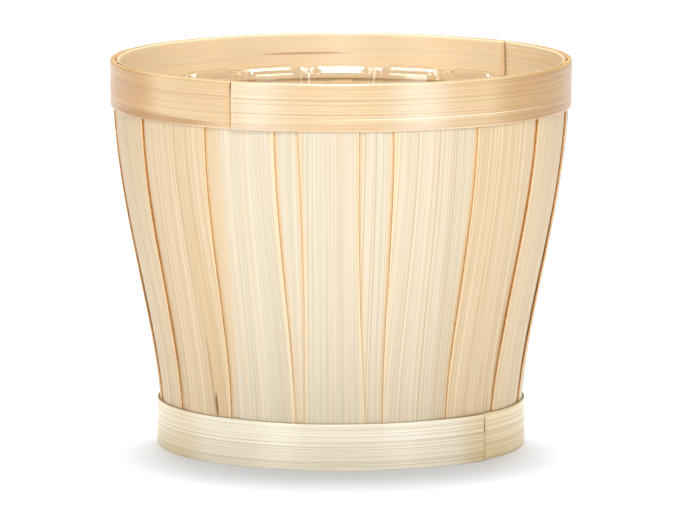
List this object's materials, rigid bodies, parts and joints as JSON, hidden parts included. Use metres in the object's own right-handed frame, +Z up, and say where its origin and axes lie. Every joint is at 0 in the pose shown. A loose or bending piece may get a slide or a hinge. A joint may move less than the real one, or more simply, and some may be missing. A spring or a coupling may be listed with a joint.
{
  "type": "planter basket",
  "caption": "Round tapered plant pot cover of shingled bamboo veneer staves clamped by rim and foot hoops, with a clear lift-out liner.",
  "frame": {"origin": "centre of the face the basket stands on, on its vertical axis", "axes": "+Z up along the axis, -Y the front as seen in the picture, +X to the right of the front"},
  "size_m": [0.15, 0.15, 0.126],
  "materials": {
    "rim_veneer": "satin split bamboo veneer, fine grain running round the hoop",
    "rim_veneer_inner": "satin split bamboo veneer, fine grain running round, one brown streak",
    "foot_veneer": "satin pale bamboo veneer, fine grain running round the hoop",
    "foot_veneer_inner": "satin bamboo veneer, grain running round",
    "stave_cream": "satin bamboo veneer, fine upright grain, cream",
    "stave_cool": "satin bamboo veneer, fine upright grain, slightly green cream",
    "stave_tan": "satin bamboo veneer, fine upright grain, tan",
    "stave_warm": "satin bamboo veneer, fine upright grain, with brown streaks",
    "base_ply": "matt thin plywood, cross grain",
    "clear_plastic": "clear glossy thermoformed sheet"
  },
  "bodies": {
    "basket": {"rim_hoop_outer": "rim_veneer", "rim_hoop_inner": "rim_veneer_inner", "foot_hoop_outer": "foot_veneer", "foot_hoop_inner": "foot_veneer_inner", "base_disc": "base_ply", "stave_01": "stave_cream", "stave_02": "stave_cream", "stave_03": "stave_cool", "stave_04": "stave_tan", "stave_05": "stave_tan", "stave_06": "stave_cream", "stave_07": "stave_cool", "stave_08": "stave_tan", "stave_09": "stave_cream", "stave_10": "stave_tan", "stave_11": "stave_cream", "stave_12": "stave_warm", "stave_13": "stave_tan", "stave_14": "stave_tan", "stave_15": "stave_warm", "stave_16": "stave_cream", "stave_17": "stave_cream"},
    "liner": {"liner": "clear_plastic"}
  },
  "joints": [
    {"name": "liner_lift", "type": "slide", "parent": "basket", "child": "liner", "axis": [0, 0, 1], "range_m": [0, 0.12]}
  ]
}
